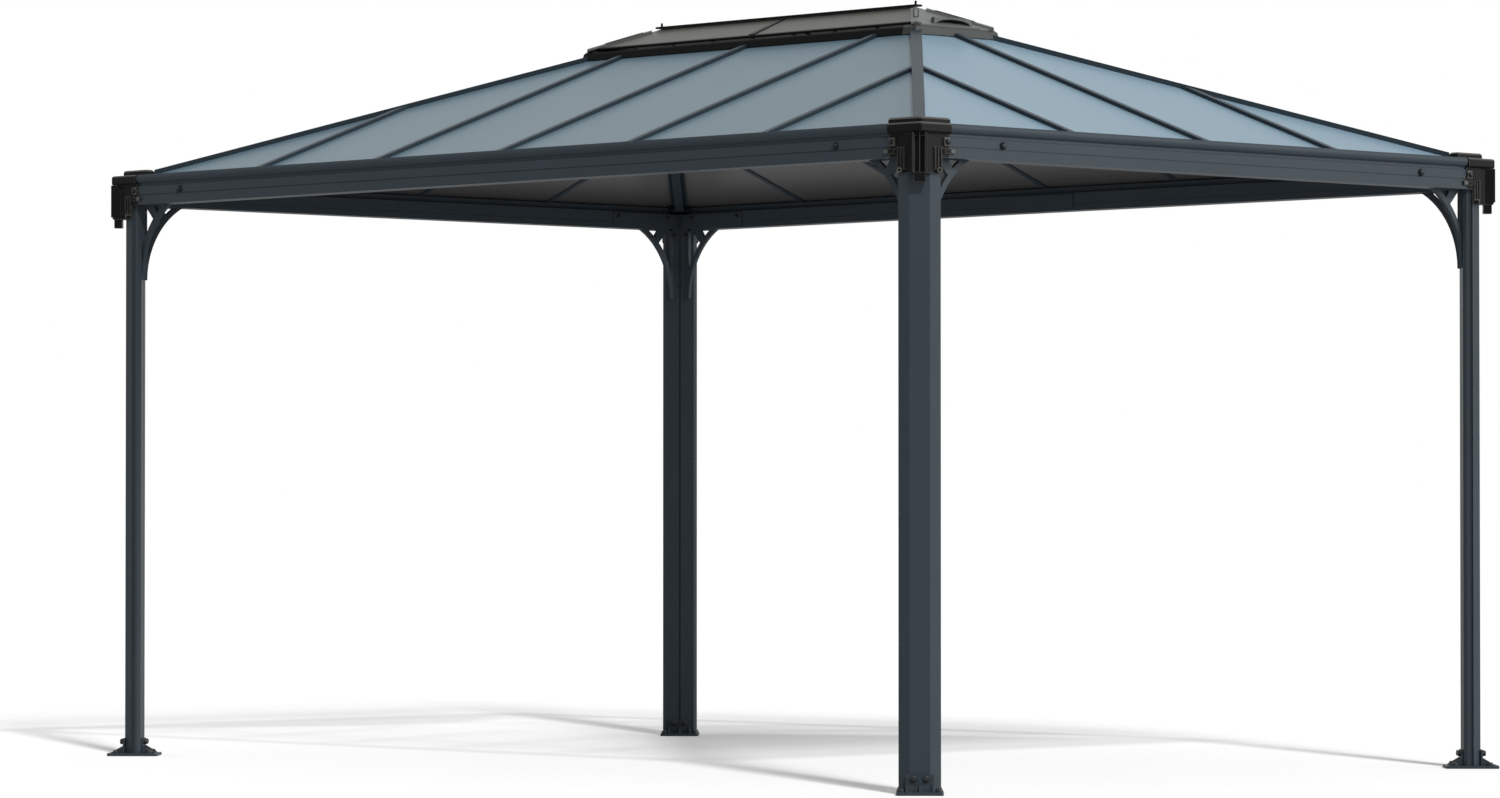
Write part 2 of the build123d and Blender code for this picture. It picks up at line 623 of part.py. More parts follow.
def spacers():
    """Blocks that hold the long hoods off the deck."""
    shoulder = skirt_rings()[1]
    low = shoulder[2] + DECK_THICK
    edge = HOOD_LIP + LIP_RADIUS + CLEAR
    high = hood_top(edge) - HOOD_THICK - CLEAR - low
    count = int((deck_hole()[0] - HOOD_LIP) / SPACER)
    y = shoulder[1] - edge - SPACER_WIDE / 2
    block = Box(SPACER_LONG, SPACER_WIDE, high, align=(Align.CENTER, Align.CENTER, Align.MIN))
    spots = [(n * SPACER, sign * y) for n in range(-count, count + 1) for sign in (1, -1)]
    return Compound(children=[Pos(x, y, low) * block for x, y in spots])


def bar_notches():
    """Room for the bars' caps where they run in under the skirt."""
    first = VENT_RUN - SKIRT_WALL
    length = ROOF_TOP_RUN - first + CLEAR
    z = sheet_top(first)
    rise = ROOF_RISE * length
    top = BAR_RISE + CLEAR
    wide = BAR_CAP / 2 + CLEAR
    block = [(-wide, -top), (wide, -top), (wide, top), (-wide, top)]
    hip_wide = HIP_CAP / 2 + CLEAR
    hip_block = [(-hip_wide, -top), (hip_wide, -top), (hip_wide, top), (-hip_wide, top)]
    cutters = []
    for sign in (1, -1):
        for spot in bar_spots(POST_X):
            if POST_X - abs(spot) > ROOF_TOP_RUN:
                start, run = (spot, sign * (POST_Y - first), z), (0, -sign * length, rise)
                cutters.append(bar_between(block, start, run, (1, 0, 0)))
        for spot in bar_spots(POST_Y):
            if POST_Y - abs(spot) > ROOF_TOP_RUN:
                start, run = (sign * (POST_X - first), spot, z), (-sign * length, 0, rise)
                cutters.append(bar_between(block, start, run, (0, 1, 0)))
    for sx, sy in CORNERS.values():
        start = (sx * (POST_X - first), sy * (POST_Y - first), z)
        run = (-sx * length, -sy * length, rise)
        cutters.append(bar_between(hip_block, start, run, (-sy, sx, 0)))
    return cutters


def hood():
    """Raised hood over the back half of the vented top, open along its lower edge."""
    shoulder = skirt_rings()[1]
    ends = []
    for run in (HOOD_LIP, shoulder[1] - CLEAR):
        half = shoulder[0] - run - HOOD_SEAM
        ends.append((half, shoulder[1] - run, hood_top(run) - HOOD_THICK))
    low, high = ends
    shape = prism([(-low[0], *low[1:]), low, high, (-high[0], *high[1:])], HOOD_THICK)
    lip_half = low[0] - COVER_WIDE / ROOT2
    lip = Pos(-lip_half, low[1], hood_top(HOOD_LIP) - LIP_RADIUS) * Rot(0, 90, 0) * extrude(
        Circle(LIP_RADIUS), amount=2 * lip_half)
    half_strap = STRAP_WIDE / 2
    section = [(-half_strap, -1), (half_strap, -1), (half_strap, STRAP_THICK), (-half_strap, STRAP_THICK)]
    length = low[1] - RIDGE_WIDE / 2
    strap = bar_between(section, (0, low[1], hood_top(HOOD_LIP)), (0, -length, HOOD_RISE * length), (1, 0, 0))
    return (shape + lip + strap).solid()


def end_hood():
    """Closed slope at the right end of the vented top."""
    shoulder = skirt_rings()[1]
    low = SKIRT_STEP
    high = shoulder[1] - HOOD_SEAM
    half = shoulder[1] - low - HOOD_SEAM
    z = hood_top(low) - HOOD_THICK
    points = [(shoulder[0] - low, half, z), (shoulder[0] - low, -half, z),
              (shoulder[0] - high, 0, hood_top(high) - HOOD_THICK)]
    return (prism(points, HOOD_THICK) + eyelid()).solid()


def eyelid():
    """Half-round lid that stands up from the end slope, with its mouth outwards."""
    mouth = skirt_rings()[1][0] - EYELID_RUN
    slope_z = hood_top(EYELID_RUN)
    top = hood_top(EYELID_RUN + EYELID_LONG)
    rise = HOOD_RISE * EYELID_LONG

    def over_slope(shrink, low, high):
        half_oval = Ellipse(EYELID_LONG - shrink, EYELID_WIDE / 2 - shrink)
        block = Pos(mouth, 0, slope_z - HOOD_THICK) * extrude(half_oval, amount=high - slope_z + HOOD_THICK)
        section = [(-EYELID_WIDE, low), (EYELID_WIDE, low), (EYELID_WIDE, 2 * rise), (-EYELID_WIDE, 2 * rise)]
        keep = bar_between(section, (mouth, 0, slope_z), (-EYELID_LONG, 0, rise), (0, 1, 0))
        return block & keep

    return over_slope(0, -1, top) - over_slope(EYELID_SHEET, 0, top - EYELID_SHEET)


def hip_cover():
    """Bar over the corner seam of the vented top."""
    shoulder = skirt_rings()[1]
    low = SKIRT_STEP + CLEAR
    fall = HOOD_RISE / ROOT2 * COVER_WIDE / 2
    half = [(0, COVER_THICK), (COVER_WIDE / 2, COVER_THICK - fall), (COVER_WIDE / 2, CLEAR - fall), (0, CLEAR)]
    start = (shoulder[0] - low, shoulder[1] - low, hood_top(low))
    length = shoulder[1] - low - COVER_WIDE / ROOT2
    return bar_between(both_halves(half), start, (-length, -length, HOOD_RISE * length), (1, -1, 0))


def ridge_cap():
    """Cap along the ridge, with a small pin at each end."""
    shoulder = skirt_rings()[1]
    half_x = shoulder[0] - shoulder[1] + RIDGE_WIDE / 2
    z = hood_top(shoulder[1])
    cap = Pos(0, 0, z + CLEAR + COVER_THICK / 2) * Box(2 * half_x, RIDGE_WIDE, COVER_THICK)
    for sign in (1, -1):
        cap += Pos(sign * (shoulder[0] - shoulder[1]), 0, z + COVER_THICK) * extrude(Circle(PIN_RADIUS), amount=PIN_HIGH)
    return cap


def export(name, shape):
    export_step(shape, f"parts/{name}.step")


def main():
    os.makedirs("parts", exist_ok=True)
    post_solid = post()
    corner_pieces = {
        "post": post_solid,
        "foot": foot(),
        "corner_bracket": corner_bracket(post_solid),
        "inner_connector": connector(),
        "hip_bar": hip(),
    }
    one_brace = brace(post_solid)
    corner_pieces["knee_braces"] = Compound(children=[one_brace, swap_xy(one_brace)])
    for kind, shape in corner_pieces.items():
        for corner, (sx, sy) in CORNERS.items():
            export(f"{kind}_{corner}", flip(shape, sx, sy))
    hips = [flip(corner_pieces["hip_bar"], sx, sy) for sx, sy in CORNERS.values()]
    long_pieces = {"eaves_beam": long_beam(), "roof_bars": side_bars(POST_X, POST_Y, True, hips),
                   "roof_sheets": side_sheets(POST_X, POST_Y, True)}
    short_pieces = {"eaves_beam": short_beam(), "roof_bars": side_bars(POST_Y, POST_X, False, hips),
                    "roof_sheets": side_sheets(POST_Y, POST_X, False)}
    for kind, shape in long_pieces.items():
        export(f"{kind}_back", shape)
        export(f"{kind}_front", flip(shape, 1, -1))
    for kind, shape in short_pieces.items():
        export(f"{kind}_right", shape)
        export(f"{kind}_left", flip(shape, -1, 1))
    plate = Box(SPLICE_LONG, SPLICE_THICK, BEAM_BOX - 2 * CONNECTOR_EDGE)
    plate = Pos(0, POST_Y - BEAM_IN - SPLICE_THICK / 2, HEADROOM + BEAM_BOX / 2) * plate
    export("splice_plates", Compound(children=[plate, flip(plate, 1, -1)]))
    export("vent_curb", curb())
    back_skirt, right_skirt = skirts()
    export("vent_skirt_back", back_skirt)
    export("vent_skirt_front", flip(back_skirt, 1, -1))
    export("vent_skirt_right", right_skirt)
    export("vent_skirt_left", flip(right_skirt, -1, 1))
    export("vent_spacers", spacers())
    export("vent_hood_back", hood())
    export("vent_hood_front", flip(hood(), 1, -1))
    export("vent_end_right", end_hood())
    export("vent_end_left", flip(end_hood(), -1, 1))
    export("vent_hip_covers", Compound(children=[flip(hip_cover(), sx, sy) for sx, sy in CORNERS.values()]))
    export("vent_ridge_cap", ridge_cap())


main()
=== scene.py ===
import bpy, math
import numpy as np
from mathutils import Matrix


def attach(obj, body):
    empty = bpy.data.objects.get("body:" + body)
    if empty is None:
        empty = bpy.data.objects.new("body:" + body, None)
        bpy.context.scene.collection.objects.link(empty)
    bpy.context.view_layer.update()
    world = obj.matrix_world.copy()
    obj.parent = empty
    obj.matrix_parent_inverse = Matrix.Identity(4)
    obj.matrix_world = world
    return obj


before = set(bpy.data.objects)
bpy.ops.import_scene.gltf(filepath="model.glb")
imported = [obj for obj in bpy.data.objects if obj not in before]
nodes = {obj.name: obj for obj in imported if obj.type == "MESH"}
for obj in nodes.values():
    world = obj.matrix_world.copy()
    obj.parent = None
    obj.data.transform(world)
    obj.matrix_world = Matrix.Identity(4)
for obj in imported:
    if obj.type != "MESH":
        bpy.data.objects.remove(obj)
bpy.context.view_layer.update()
print("frame loaded:", len(nodes), "nodes")

# places on the gazebo, in metres
place = dict(
    postX=2.087, postY=1.412,       # centres of the posts
    beamOut=0.053,                  # post line to the beam's outer face at bolt height
    beamIn=0.033,                   # post line to the connector's inner face
)
corners = np.array([(1, 1), (-1, 1), (1, -1), (-1, -1)], float)


# small steps that the materials are built from
mixSockets = dict(factor=0, first=6, second=7, result=2)        # the colour sockets of a Mix node
waveTurn = 20                                                   # radians a metre at wave scale 1


def feed(nt, socket, value):
    # another node's output is linked; a number or a colour is set on the socket itself
    if isinstance(value, bpy.types.NodeSocket):
        nt.links.new(value, socket)
    elif isinstance(value, (int, float)):
        socket.default_value = value
    else:
        socket.default_value = (*value, 1)


def colourMix(nt, factor, first, second):
    # the first colour at factor 0, the second at 1
    mix = nt.nodes.new("ShaderNodeMix")
    mix.data_type = "RGBA"
    for key, value in (("factor", factor), ("first", first), ("second", second)):
        feed(nt, mix.inputs[mixSockets[key]], value)
    return mix.outputs[mixSockets["result"]]


def mathStep(nt, way, *values):
    step = nt.nodes.new("ShaderNodeMath")
    step.operation = way
    for at, value in enumerate(values):
        feed(nt, step.inputs[at], value)
    return step.outputs[0]


def rescaled(nt, value, fromMin=0.0, fromMax=1.0, toMin=0.0, toMax=1.0):
    # straight change of scale, held at both ends
    span = nt.nodes.new("ShaderNodeMapRange")
    feed(nt, span.inputs["Value"], value)
    feed(nt, span.inputs["From Min"], fromMin)
    feed(nt, span.inputs["From Max"], fromMax)
    feed(nt, span.inputs["To Min"], toMin)
    feed(nt, span.inputs["To Max"], toMax)
    return span.outputs["Result"]


def noise(nt, coords, scale, detail=2.0):
    cloud = nt.nodes.new("ShaderNodeTexNoise")
    feed(nt, cloud.inputs["Vector"], coords)
    feed(nt, cloud.inputs["Scale"], scale)
    feed(nt, cloud.inputs["Detail"], detail)
    return cloud.outputs["Fac"]


def split(nt, vector):
    parts = nt.nodes.new("ShaderNodeSeparateXYZ")
    feed(nt, parts.inputs[0], vector)
    return parts.outputs


def pressIn(nt, shader, height, strength, depth):
    # small relief, as a bump under the shader
    bump = nt.nodes.new("ShaderNodeBump")
    feed(nt, bump.inputs["Height"], height)
    feed(nt, bump.inputs["Strength"], strength)
    feed(nt, bump.inputs["Distance"], depth)
    feed(nt, shader.inputs["Normal"], bump.outputs["Normal"])


def newMaterial(name, look):
    mat = bpy.data.materials.new(name)
    mat.use_nodes = True
    nt = mat.node_tree
    shader = nt.nodes["Principled BSDF"]
    feed(nt, shader.inputs["Roughness"], look["roughness"])
    feed(nt, shader.inputs["Specular IOR Level"], look["specular"])
    return mat, nt, shader


def objectCoords(nt):
    return nt.nodes.new("ShaderNodeTexCoord").outputs["Object"]


# painted and moulded finishes: two close colours mixed by cloudy noise, with a fine grain
framePaintLook = dict(
    dark=(0.041, 0.054, 0.065), light=(0.050, 0.065, 0.077), roughness=0.42, specular=0.07,
    cloudScale=3.0, grainScale=900, grainStrength=0.25, grainDepth=0.0003)
# a darker copy of the frame's coat for the roof bars: painted shade
roofBarShadedLook = dict(
    dark=(0.026, 0.039, 0.050), light=(0.032, 0.047, 0.059), roughness=0.42, specular=0.06,
    cloudScale=3.0, grainScale=900, grainStrength=0.25, grainDepth=0.0003)
# the moulding's edge colour and its paling on upward faces are a painted highlight
mouldingLook = dict(
    dark=(0.0060, 0.0062, 0.0060), light=(0.0095, 0.0096, 0.0092), roughness=0.34, specular=0.05,
    cloudScale=9.0, grainScale=700, grainStrength=0.25, grainDepth=0.0003,
    edge=(0.115, 0.113, 0.107), edgeRadius=0.0032, upPale=0.75)
# pale tone for small fittings; on the bracket's lug patches and hook bands it is a painted
# highlight
paleFittingAndHighlightLook = dict(
    dark=(0.085, 0.085, 0.080), light=(0.115, 0.115, 0.108), roughness=0.35, specular=0.1,
    cloudScale=30.0, grainScale=900, grainStrength=0.2, grainDepth=0.0002)
knobLook = dict(
    dark=(0.010, 0.013, 0.016), light=(0.016, 0.020, 0.024), roughness=0.3, specular=0.15,
    cloudScale=40.0, grainScale=1500, grainStrength=0.2, grainDepth=0.0002)
hoodLook = dict(
    dark=(0.094, 0.098, 0.083), light=(0.118, 0.122, 0.105), roughness=0.32, specular=0.04,
    cloudScale=4.0, grainScale=900, grainStrength=0.15, grainDepth=0.0002)
# the end slopes in a lighter, bluer copy of the hood's tone: painted light on them
endSlopeLitLook = dict(
    dark=(0.112, 0.121, 0.117), light=(0.140, 0.149, 0.144), roughness=0.32, specular=0.05,
    cloudScale=4.0, grainScale=900, grainStrength=0.15, grainDepth=0.0002)
ventTrimLook = dict(
    dark=(0.0065, 0.0070, 0.0066), light=(0.0100, 0.0106, 0.0100), roughness=0.38, specular=0.03,
    cloudScale=9.0, grainScale=700, grainStrength=0.2, grainDepth=0.0003)
# a lighter copy of the dark trim for the skirt at the right end: painted light
endTrimLitLook = dict(
    dark=(0.052, 0.053, 0.052), light=(0.068, 0.069, 0.068), roughness=0.38, specular=0.08,
    cloudScale=9.0, grainScale=700, grainStrength=0.2, grainDepth=0.0003)
boltLook = dict(
    dark=(0.020, 0.022, 0.024), light=(0.035, 0.037, 0.040), roughness=0.35, specular=0.2,
    cloudScale=40.0, grainScale=1500, grainStrength=0.2, grainDepth=0.0002)
shadowLook = dict(
    dark=(0.006, 0.006, 0.007), light=(0.010, 0.010, 0.011), roughness=0.7, specular=0.2,
    cloudScale=20.0, grainScale=900, grainStrength=0.2, grainDepth=0.0002)

cloudDetail = 4
edgeFade = dict(samples=6, flatDot=0.99, turnedDot=0.85, upFrom=0.2, upTo=0.6)


def mottled(nt, shader, look):
    coords = objectCoords(nt)
    cloud = noise(nt, coords, look["cloudScale"], cloudDetail)
    colour = colourMix(nt, cloud, look["dark"], look["light"])
    grain = noise(nt, coords, look["grainScale"])
    pressIn(nt, shader, grain, look["grainStrength"], look["grainDepth"])
    return colour


def paintedEdgeHighlights(nt, colour, look):
    # painted highlight: paler along every edge, where the rounded normal leaves the flat one, and
    # on upward faces
    soft = nt.nodes.new("ShaderNodeBevel")
    soft.samples = edgeFade["samples"]
    feed(nt, soft.inputs["Radius"], look["edgeRadius"])
    flat = nt.nodes.new("ShaderNodeNewGeometry").outputs["True Normal"]
    along = nt.nodes.new("ShaderNodeVectorMath")
    along.operation = "DOT_PRODUCT"
    feed(nt, along.inputs[0], soft.outputs["Normal"])
    feed(nt, along.inputs[1], flat)
    edge = rescaled(nt, along.outputs["Value"], edgeFade["flatDot"], edgeFade["turnedDot"])
    above = rescaled(nt, split(nt, flat)["Z"], edgeFade["upFrom"], edgeFade["upTo"],
                     toMax=look["upPale"])
    return colourMix(nt, mathStep(nt, "MAXIMUM", edge, above), colour, look["edge"])


def paint(name, look):
    mat, nt, shader = newMaterial(name, look)
    colour = mottled(nt, shader, look)
    if "edge" in look:
        colour = paintedEdgeHighlights(nt, colour, look)
    feed(nt, shader.inputs["Base Color"], colour)
    return mat


framePaint = paint("slatePowderCoat", framePaintLook)
roofBarShadedPaint = paint("roofBarShadedCoat", roofBarShadedLook)
moulding = paint("blackMoulding", mouldingLook)
paleFittingAndHighlight = paint("palerFittingsAndPaintedHighlights", paleFittingAndHighlightLook)
knobPaint = paint("darkKnobs", knobLook)
endSlopeLit = paint("ventEndSlopesPaintedLight", endSlopeLitLook)
ventTrim = paint("ventDarkTrim", ventTrimLook)
endTrimLit = paint("ventEndTrimPaintedLight", endTrimLitLook)
boltSteel = paint("dullBoltSteel", boltLook)
slotShade = paint("paintedSlotShade", shadowLook)


# hood of the vented top: dark past the lip on each side, and inside the strap over its middle
hoodEdges = dict(lipY=0.171, strapX=0.0135, dark=ventTrimLook["dark"])


def hoodPaint(name, look, edges):
    mat, nt, shader = newMaterial(name, look)
    colour = mottled(nt, shader, look)
    at = split(nt, objectCoords(nt))
    lip = mathStep(nt, "GREATER_THAN", mathStep(nt, "ABSOLUTE", at["Y"]), edges["lipY"])
    strap = mathStep(nt, "LESS_THAN", mathStep(nt, "ABSOLUTE", at["X"]), edges["strapX"])
    colour = colourMix(nt, mathStep(nt, "MAXIMUM", lip, strap), colour, edges["dark"])
    feed(nt, shader.inputs["Base Color"], colour)
    return mat


# twin-wall sheets: cloudy blue, darker along the ribs, which run down the slope
sheetLook = dict(
    roughness=0.28, specular=0.03, low=(0.24, 0.325, 0.385), high=(0.29, 0.385, 0.45),
    longTint=(0.68, 0.77, 0.80), shortTint=(0.94, 1.04, 1.10),      # painted shade deepens the long sides, painted light lifts the short ones
    cloudScale=0.7, ribPitch=0.0105, ribDark=0.86, ribStrength=0.3, ribDepth=0.0006,
    under=(0.33, 0.325, 0.315), eaves=(0.060, 0.060, 0.062),        # grey on the faces that look down, with painted shade at the eaves
    eavesZ=2.17, clearZ=2.50,       # heights between which the painted shade at the eaves gives way to the underside's grey
    downward=-0.5,                  # faces whose normal points further down than this are grey
)


def topOrUnder(nt, coords, top, look):
    # grey where the face looks down, with painted shade darker towards the eaves, and the sheet's
    # own colour elsewhere
    height = rescaled(nt, split(nt, coords)["Z"], look["eavesZ"], look["clearZ"])
    under = colourMix(nt, height, look["eaves"], look["under"])
    flat = nt.nodes.new("ShaderNodeNewGeometry").outputs["True Normal"]
    isTop = mathStep(nt, "GREATER_THAN", split(nt, flat)["Z"], look["downward"])
    return colourMix(nt, isTop, under, top)


def roofSheet(name, look, axis, tint):
    mat, nt, shader = newMaterial(name, look)
    coords = objectCoords(nt)
    low, high = (tuple(np.array(look[level]) * look[tint]) for level in ("low", "high"))
    tone = colourMix(nt, noise(nt, coords, look["cloudScale"]), low, high)
    ribs = nt.nodes.new("ShaderNodeTexWave")
    ribs.wave_type = "BANDS"
    ribs.bands_direction = axis
    feed(nt, ribs.inputs["Scale"], 2 * math.pi / (waveTurn * look["ribPitch"]))
    feed(nt, ribs.inputs["Vector"], coords)
    ribbed = nt.nodes.new("ShaderNodeVectorMath")
    ribbed.operation = "SCALE"
    feed(nt, ribbed.inputs[0], tone)
    feed(nt, ribbed.inputs["Scale"], rescaled(nt, ribs.outputs["Fac"], toMin=look["ribDark"]))
    colour = topOrUnder(nt, coords, ribbed.outputs["Vector"], look)
    feed(nt, shader.inputs["Base Color"], colour)
    pressIn(nt, shader, ribs.outputs["Fac"], look["ribStrength"], look["ribDepth"])
    return mat


hoodFinish = hoodPaint("smokedHood", hoodLook, hoodEdges)
sheetAcrossX = roofSheet("twinWallLongSides", sheetLook, "X", "longTint")
sheetAcrossY = roofSheet("twinWallShortSides", sheetLook, "Y", "shortTint")

# which finish a piece of the frame gets, by the start of its name; the first that fits is taken
finishes = [
    (("corner_bracket",), moulding),
    (("hip_bar", "roof_bars"), roofBarShadedPaint),
    (("roof_sheets_back", "roof_sheets_front"), sheetAcrossX),
    (("roof_sheets",), sheetAcrossY),
    (("vent_hood",), hoodFinish),
    (("vent_end", "vent_hip_covers"), endSlopeLit),
    (("vent_skirt_right",), endTrimLit),
    (("vent_spacers",), paleFittingAndHighlight),
    (("vent_skirt", "vent_ridge"), ventTrim),
    (("",), framePaint),
]
for name, node in nodes.items():
    finish = next(mat for starts, mat in finishes if name.startswith(starts))
    for slot in node.material_slots:
        slot.material = finish
print("finishes on the frame's pieces")


# surfaces worked out on grids
def gridFaces(rows, cols, closeRows=False):
    # quads of a grid whose columns close round, and its rows too where that is asked
    lastRow = rows if closeRows else rows - 1
    r, c = np.meshgrid(np.arange(lastRow), np.arange(cols), indexing="ij")
    nextC, nextR = (c + 1) % cols, (r + 1) % rows
    quads = [r * cols + c, r * cols + nextC, nextR * cols + nextC, nextR * cols + c]
    return np.stack(quads, -1).reshape(-1, 4).tolist()


def fan(start, count, tip, inward=False):
    # triangles from a ring of points to one tip
    near = start + np.arange(count)
    far = start + (np.arange(count) + 1) % count
    sides = [far, near] if inward else [near, far]
    return np.stack(sides + [np.full(count, tip)], -1).tolist()


def fullTurn(count):
    return np.linspace(0, 2 * math.pi, count, endpoint=False)


def lofted(outline, scales, heights):
    # point = (outline·scale, height), closed by one point at each end
    count, rings = len(outline), len(heights)
    flat = np.asarray(scales, float)[:, None, None] * outline
    tall = np.repeat(np.asarray(heights, float), count).reshape(rings, count, 1)
    body = np.concatenate([flat, tall], -1).reshape(-1, 3)
    verts = np.vstack([body, [(0, 0, heights[0]), (0, 0, heights[-1])]])
    low = fan(0, count, len(body), inward=True)
    high = fan(len(body) - count, count, len(body) + 1)
    return verts, gridFaces(rings, count) + low + high


def turned(radii, heights, count):
    # a circle lofted through the radii: (radius·cos a, radius·sin a, height)
    a = fullTurn(count)
    return lofted(np.stack([np.cos(a), np.sin(a)], -1), radii, heights)


padShape = dict(power=0.4, count=40, topScale=0.94, wallShare=0.6)


def pad(halfLong, halfWide, thick):
    # flat plate with round corners: (long·|cos a|^power, wide·|sin a|^power), each with its sign
    a = fullTurn(padShape["count"])
    wave = np.stack([np.cos(a), np.sin(a)], -1)
    outline = np.sign(wave) * np.abs(wave) ** padShape["power"] * [halfLong, halfWide]
    return lofted(outline, [1, 1, padShape["topScale"]], [0, thick * padShape["wallShare"], thick])


def torus(ring, tube, count=28, around=12):
    # ((ring + tube·cos b)·cos a, (ring + tube·cos b)·sin a, tube·sin b)
    a, b = np.meshgrid(fullTurn(count), fullTurn(around), indexing="ij")
    reach = ring + tube * np.cos(b)
    verts = np.stack([reach * np.cos(a), reach * np.sin(a), tube * np.sin(b)], -1)
    faces = gridFaces(count, around, closeRows=True)
    return verts.reshape(-1, 3), [face[::-1] for face in faces]


# pieces repeated over the gazebo
def placedAt(spots, axes, alongs=None):
    # one turn for each spot: Z along the axis given there, X along the third list if there is one
    spots, z = np.asarray(spots, float), np.asarray(axes, float)
    z = z / np.linalg.norm(z, axis=1, keepdims=True)
    isUpright = np.abs(z[:, 2:]) > 0.9
    helper = np.where(isUpright, [[1.0, 0, 0]], [[0, 0, 1.0]])       # never along the axis itself
    x = np.cross(helper, z) if alongs is None else np.asarray(alongs, float)
    x = x / np.linalg.norm(x, axis=1, keepdims=True)
    return spots, np.stack([x, np.cross(z, x), z], 1)


def copies(verts, faces, spots, turns):
    # every copy at once: vertex·turn + spot, with the faces counted on
    allVerts = np.einsum("kj,njc->nkc", verts, turns) + spots[:, None, :]
    step = len(verts)
    allFaces = [[i + n * step for i in face] for n in range(len(spots)) for face in faces]
    return allVerts.reshape(-1, 3), allFaces


def armPlaces(fromPost, out, height, way=1):
    # both arms of every corner: back along the beam from the post's centre, then out past its line,
    # facing outward (way 1) or inward (way -1)
    spots, axes, alongs = [], [], []
    for sx, sy in corners:
        x, y = sx * place["postX"], sy * place["postY"]
        spots += [(x - sx * fromPost, y + sy * out, height),
                  (x + sx * out, y - sy * fromPost, height)]
        axes += [(0, way * sy, 0), (way * sx, 0, 0)]
        alongs += [(sy, 0, 0), (0, sx, 0)]
    return spots, axes, alongs


def postPlaces(outs, acrosses, heights, upright=False):
    # every corner: each distance out along the diagonal, with each distance across and each height,
    # facing up, or else outward where the distance out is positive and inward where it is negative
    spots, axes = [], []
    steps = [(out, across, height) for out in outs for across in acrosses for height in heights]
    for sx, sy in corners:
        middle = np.array([sx * place["postX"], sy * place["postY"], 0])
        u = np.array([sx, sy, 0]) / math.sqrt(2)        # outward along the diagonal
        v = np.array([-sy, sx, 0]) / math.sqrt(2)       # across it
        for out, across, height in steps:
            spots.append(middle + out * u + across * v + [0, 0, height])
            axes.append((0, 0, 1) if upright else np.sign(out) * u)
    return spots, axes


sharpAngle = 35     # degrees past which an edge stays sharp


def makePiece(name, verts, faces, mat):
    mesh = bpy.data.meshes.new(name)
    mesh.from_pydata(verts.tolist(), [], faces)
    mesh.materials.append(mat)
    mesh.update()
    obj = bpy.data.objects.new(name, mesh)
    bpy.context.scene.collection.objects.link(obj)
    mesh.shade_smooth()
    mesh.set_sharp_from_angle(angle=math.radians(sharpAngle))
    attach(obj, "root")


# bolt heads: radii, then the heights they stand at
boltHeads = dict(
    dome=([0.0115, 0.0115, 0.0105, 0.0080, 0.0042], [0.0, 0.0035, 0.0058, 0.0078, 0.0088]),
    stud=([0.0125, 0.0125, 0.0105, 0.0105, 0.0092, 0.0058],
          [0.0, 0.0022, 0.0026, 0.0092, 0.0118, 0.0132]),
    pin=([0.0034, 0.0034, 0.0072, 0.0066, 0.0035], [0.0, 0.0048, 0.0050, 0.0072, 0.0085]),
    knob=([0.0085, 0.0085, 0.0075, 0.0050], [0.0, 0.0035, 0.0062, 0.0075]),
    lugKnob=([0.0100, 0.0100, 0.0086, 0.0050], [0.0, 0.0040, 0.0068, 0.0082]),
    beamKnob=([0.0130, 0.0130, 0.0122, 0.0098, 0.0056], [0.0, 0.0045, 0.0070, 0.0094, 0.0106]),
    ridgePin=([0.0042, 0.0042, 0.0030], [0.0, 0.0185, 0.0205]),
)
boltSides = 18


def boltSet(name, kind, spots, axes, mat):
    head = turned(*boltHeads[kind], boltSides)
    makePiece(name, *copies(*head, *placedAt(spots, axes)), mat)


# bolts and screws at the posts: distances out and across from the post's centre, and heights
floorBolts = dict(outs=(0.062, -0.062), acrosses=(0.062, -0.062), heights=(0.014,), upright=True)
tongueBolts = dict(outs=(0.0383, -0.0383), acrosses=(0.021, -0.021), heights=(0.053,))
postBolts = dict(outs=(-0.031,), acrosses=(0.022, -0.022), heights=(2.058,))
grooveScrews = dict(outs=(-0.0262,), acrosses=(0,), heights=(1.949, 1.920, 1.850))

# bolts along the beams
lugBolts = dict(fromPost=0.070, out=0.0605, height=2.132)
outerBeamBolts = dict(fromPost=0.338, out=place["beamOut"], height=2.130)
innerBeamBolts = dict(fromPost=0.373, out=-place["beamIn"], height=2.126, way=-1)
connectorBolts = dict(fromPost=0.104, out=-place["beamIn"], height=2.128, way=-1)

boltSet("foot_floor_bolts", "dome", *postPlaces(**floorBolts), boltSteel)
boltSet("foot_tongue_bolts", "stud", *postPlaces(**tongueBolts), boltSteel)
boltSet("bracket_lug_bolts", "lugKnob", *armPlaces(**lugBolts)[:2], knobPaint)
boltSet("bracket_post_bolts", "knob", *postPlaces(**postBolts), boltSteel)
boltSet("beam_outer_bolts", "beamKnob", *armPlaces(**outerBeamBolts)[:2], knobPaint)
boltSet("beam_inner_bolts", "knob", *armPlaces(**innerBeamBolts)[:2], boltSteel)
boltSet("post_groove_screws", "pin", *postPlaces(**grooveScrews), boltSteel)
boltSet("connector_bolts", "knob", *armPlaces(**connectorBolts)[:2], boltSteel)
print("bolts on")


# pale pieces on the corner brackets: the patches under the lug bolts and the bands on the hooks are
# painted highlights, and rings sit round the eyes in the same pale tone
lugHighlight = dict(size=(0.0125, 0.0130, 0.0010), at=dict(fromPost=0.070, out=0.0600, height=2.132))
clawHighlight = dict(size=(0.0095, 0.0062, 0.0012), at=dict(fromPost=0.0945, out=0.0620, height=2.1015))
bracketRing = dict(size=(0.0066, 0.0028),       # radius, and radius of the wire
                   at=dict(outs=(0.0262,), acrosses=(0.0660, -0.0660), heights=(2.038,)))


def bracketHighlightPatches(name, look):
    # one on each arm of each corner, flat against the face that looks outward
    frames = placedAt(*armPlaces(**look["at"]))
    makePiece(name, *copies(*pad(*look["size"]), *frames), paleFittingAndHighlight)


